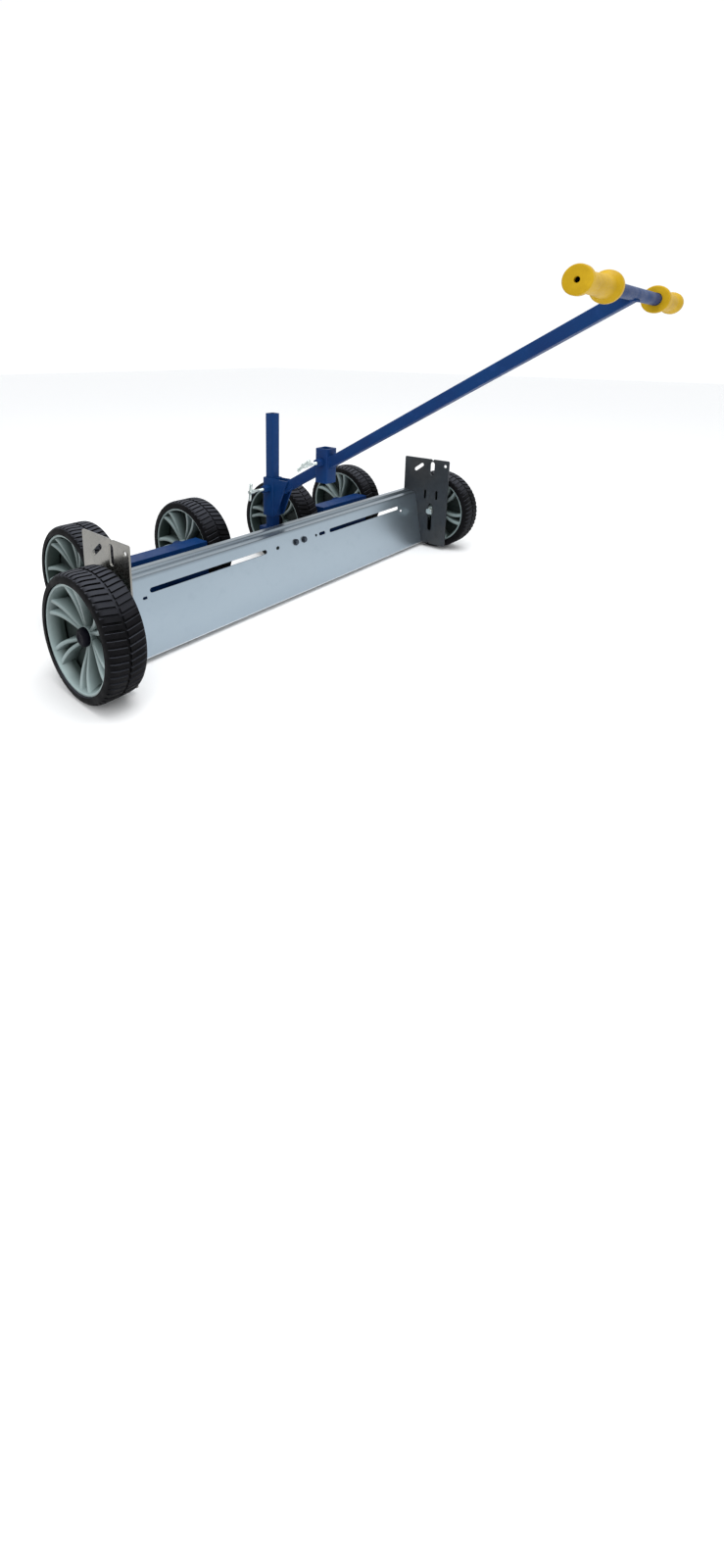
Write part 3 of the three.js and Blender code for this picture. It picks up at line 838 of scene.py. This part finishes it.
def bead(name, path, radius, ripple=0.16, pitch=0.0024):
    """A weld bead along a closed path of points, with the ripples that a welder leaves."""
    rings = []
    travelled = 0.0
    count, around = len(path), 8
    for i, point in enumerate(path):
        ahead, behind = path[(i + 1) % count], path[i - 1]
        along = (ahead - behind).normalized()
        side = along.orthogonal().normalized()
        up = along.cross(side)
        swell = radius * (1 + ripple * math.sin(2 * math.pi * travelled / pitch) + 0.08 * random.random())
        travelled += (ahead - point).length
        rings.append([tuple(point + (side * math.cos(a) + up * math.sin(a)) * swell)
                      for a in (2 * math.pi * k / around for k in range(around))])
    mesh = bpy.data.meshes.new(name)
    faces = []
    for i in range(count):
        here, there = i * around, (i + 1) % count * around
        for k in range(around):
            after = (k + 1) % around
            faces.append((here + k, here + after, there + after, there + k))
    mesh.from_pydata([point for ring in align_rings(rings) for point in ring], [], faces)
    return soft_shade(mesh, 60)


def align_rings(rings):
    """Turns each ring's start so that it lies nearest the start of the ring before it."""
    aligned = [rings[0]]
    for ring in rings[1:]:
        last = Vector(aligned[-1][0])
        start = min(range(len(ring)), key=lambda k: (Vector(ring[k]) - last).length)
        aligned.append(ring[start:] + ring[:start])
    return aligned


def densify(path, spacing=0.0008):
    """A closed path with points added, so that none are further apart than the spacing."""
    dense = []
    for i, point in enumerate(path):
        after = path[(i + 1) % len(path)]
        parts = max(1, math.ceil((after - point).length / spacing))
        dense += [point.lerp(after, k / parts) for k in range(parts)]
    return dense


mast_low, mast_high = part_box("mast")
mast_side = mast_high.x - mast_low.x
mast_wall = 0.002
mast_middle = middle("mast")
mast = upright_tube("mast", mast_middle, mast_side, mast_side - 2 * mast_wall, mast_low.z, mast_high.z)
add_piece("square_mast", mast, blue_paint, "chassis", "blue_paint", "mast")
foot_weld = densify([Vector((mast_middle.x + u, mast_middle.y + v, mast_low.z + 0.0006))
                     for u, v in square_ring(mast_side + 0.001, 0.003)])
add_piece("mast_weld", bead("mast_weld", foot_weld, 0.0020), blue_paint, "chassis", "blue_paint")


# ---- Slide sleeve, spare collar and handle tubes -----------------------------------------------
# Two thick square sockets joined by a sloping square tube and a pair of gusset plates. The long
# handle tube is welded to the front of the spare collar. All of it slides on the mast as one.

slope = 29.9 * math.pi / 180
tube_along = Vector((0, -math.cos(slope), math.sin(slope)))
tube_normal = Vector((0, math.sin(slope), math.cos(slope)))
tube_side, tube_wall = 0.0254, 0.002
bar_middle = middle("t_bar")
socket_bore = 0.029

for socket_name, piece_name in (("slide_sleeve", "mast_sleeve"), ("spare_collar", "upper_collar")):
    low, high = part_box(socket_name)
    socket = upright_tube(socket_name, middle(socket_name), high.x - low.x, socket_bore,
                          low.z, high.z, 0.0042)
    add_piece(piece_name, socket, blue_paint, "handle", "blue_paint", socket_name)


def sloping_tube(name, start, end):
    """The square tube on the handle's slope. start and end give how far along it each ring point
    goes: both are functions of the point's offset along the tube's normal."""
    rings = []
    for size, stop in ((tube_side, start), (tube_side, end),
                       (tube_side - 2 * tube_wall, end), (tube_side - 2 * tube_wall, start)):
        radius = 0.0030 if size == tube_side else 0.0012
        ring = []
        for u, v in square_ring(size, radius, 5):
            ring.append(bar_middle + Vector((u, 0, 0)) + tube_normal * v - tube_along * stop(v))
        rings.append(ring)
    return loft(name, rings, closed=True), rings


def to_upright(face_y):
    """Ends a sloping tube on an upright plane across Y."""
    return lambda v: (face_y - bar_middle.y - tube_normal.y * v) / -tube_along.y


def to_round(radius):
    """Ends a sloping tube on the T-bar."""
    return lambda v: math.sqrt(max(radius * radius - v * v, 0.0))


bar_radius = 0.0111
tube_low, tube_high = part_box("handle_tube")
long_tube, long_rings = sloping_tube("handle_tube", to_upright(tube_high.y), to_round(bar_radius + 0.0002))
add_piece("long_handle_tube", long_tube, blue_paint, "handle", "blue_paint", "handle_tube")
tube_low, tube_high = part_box("handle_lower_tube")
short_tube, short_rings = sloping_tube(
    "handle_lower_tube", to_upright(tube_high.y), to_upright(tube_low.y))
add_piece("short_lower_tube", short_tube, blue_paint, "handle", "blue_paint", "handle_lower_tube")

for weld_name, ring in (("collar_front_weld", long_rings[0]), ("collar_back_weld", short_rings[1]),
                        ("sleeve_weld", short_rings[0]), ("bar_weld", long_rings[1])):
    add_piece(weld_name, bead(weld_name, densify(ring), 0.0019), blue_paint, "handle", "blue_paint")

for side in ("left", "right"):
    refinish(f"gusset_{side}", blue_paint, 0.0008)


# ---- T-bar and grips ---------------------------------------------------------------------------
# A round steel tube across the top of the handle, painted with it, and two waisted vinyl grips
# pushed on, each with a wide flange inside, a smaller end outside and a vent hole in the end.

bar_low, bar_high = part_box("t_bar")
t_bar = turned("t_bar", [
    (bar_low.x, 0.0094), (bar_low.x, 0.0107), (bar_low.x + 0.0004, bar_radius),
    (bar_high.x - 0.0004, bar_radius), (bar_high.x, 0.0107), (bar_high.x, 0.0094)],
    48, (0, bar_middle.y, bar_middle.z))
add_piece("cross_handle", t_bar, blue_paint, "handle", "blue_paint", "t_bar")

vinyl = Finish("yellow_vinyl", (0.42, 0.255, 0.004), 0.45, specular=0.12)
vinyl.tint(vinyl.noise(26, 4.0), (0.54, 0.34, 0.010), 0, 0.8, 0.42, 0.65)
vinyl.tint(vinyl.noise(110, 6.0), (0.33, 0.18, 0.005), 0, 0.4, 0.6, 0.75)
vinyl.gloss(vinyl.noise(60, 4.0), 0.38, 0.56)
vinyl.bump(vinyl.noise(850, 2.0), 0.00012, 0.4)

flange_radius, end_radius, waist_radius, vent_radius = 0.0245, 0.0208, 0.0155, 0.0042
for side, way in (("left", -1), ("right", 1)):
    low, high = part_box(f"grip_{side}")
    inner, outer = (abs(high.x), abs(low.x)) if way < 0 else (low.x, high.x)
    corners = [
        (inner, 0.0115), (inner, flange_radius), (inner + 0.0105, flange_radius),
        (inner + 0.0190, 0.0178), (inner + 0.036, waist_radius + 0.0010), (outer - 0.055, waist_radius),
        (outer - 0.026, waist_radius + 0.0010), (outer - 0.0125, end_radius), (outer, end_radius),
        (outer, vent_radius), (outer - 0.006, vent_radius), (outer - 0.006, 0.0115)]
    radii = [0.0004, 0.0030, 0.0030, 0.0040, 0.008, 0.010, 0.0065, 0.0034, 0.0028, 0.0008, 0.0004, 0.0004]
    profile = []
    for i, corner in enumerate(corners):
        trio = [corners[i - 1], corner, corners[(i + 1) % len(corners)]]
        profile += [tuple(point) for point in turn_corners(trio, radii[i], 6)[1:-1]]
    grip = turned(f"grip_{side}", [(way * x, radius) for x, radius in profile], 72,
                  (0, bar_middle.y, bar_middle.z))
    add_piece(f"vinyl_grip_{side}", grip, vinyl.material, "handle", "grip", f"grip_{side}")


# ---- Clamp screws ------------------------------------------------------------------------------
# A zinc screw with a sliding cross bar through its head, in a hexagon nut welded to the socket's
# left wall. One holds the sleeve on the mast, and one is there for the spare collar.

def threaded_rod(name, x_tip, x_head, radius, pitch=0.00125):
    """A rod along X with thread-like rings over the part that turns in the nut."""
    profile = [(x_tip, 0.0), (x_tip, radius * 0.72)]
    x = x_tip - 0.0008
    while x > x_tip - 0.040:
        profile += [(x, radius * 0.995), (x - pitch * 0.5, radius * 0.88)]
        x -= pitch
    profile += [(x, radius), (x_head + 0.0105, radius), (x_head + 0.0095, radius * 1.55),
                (x_head - 0.0055, radius * 1.55), (x_head - 0.0065, radius * 1.35), (x_head - 0.0065, 0.0)]
    return turned(name, profile, 28, closed=False)


screw_radius, cross_radius, cross_length = 0.004, 0.0040, 0.048
knob_radius = 0.0048
for name, body, lean in (("sleeve", "sleeve_screw", 0.12), ("collar", "collar_screw", 0.9)):
    low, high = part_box(f"{name}_clamp_screw")
    centre = (low + high) / 2
    cross_x = low.x + 0.004
    shaft = threaded_rod("shaft", high.x, cross_x + 0.0025, screw_radius)
    half = cross_length / 2
    cross = turned("cross", [
        (-half, 0.0), (-half, 0.0030), (-half + 0.0010, 0.0044), (-half + 0.0034, knob_radius),
        (-half + 0.0046, cross_radius), (half - 0.0046, cross_radius), (half - 0.0034, knob_radius),
        (half - 0.0010, 0.0044), (half, 0.0030), (half, 0.0)], 28, closed=False)
    cross.transform(Matrix.Translation((cross_x, 0, 0)) @ Matrix.Rotation(lean, 4, "X")
                    @ Matrix.Rotation(math.radians(90), 4, "Y"))
    screw = join_meshes(f"{name}_clamp_screw", [shaft, cross])
    screw.transform(Matrix.Translation((0, centre.y, centre.z)))
    add_piece(f"{name}_thumb_screw", screw, zinc, body, "zinc", f"{name}_clamp_screw")
    low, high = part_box(f"{name}_clamp_nut")
    nut_middle = (0, *((low + high) / 2).yz)
    nut = hexagon_head(0.0190, high.x - low.x, 0.0016, high.x, -1, nut_middle)
    nut_hole = turned("nut_hole", [(low.x - 0.01, 0.0), (low.x - 0.01, 0.0043), (high.x + 0.01, 0.0043),
                                   (high.x + 0.01, 0.0)], 28, nut_middle, closed=False)
    add_piece(f"{name}_welded_nut", punch(nut, [nut_hole]), blue_paint, "handle", "blue_paint",
              f"{name}_clamp_nut")
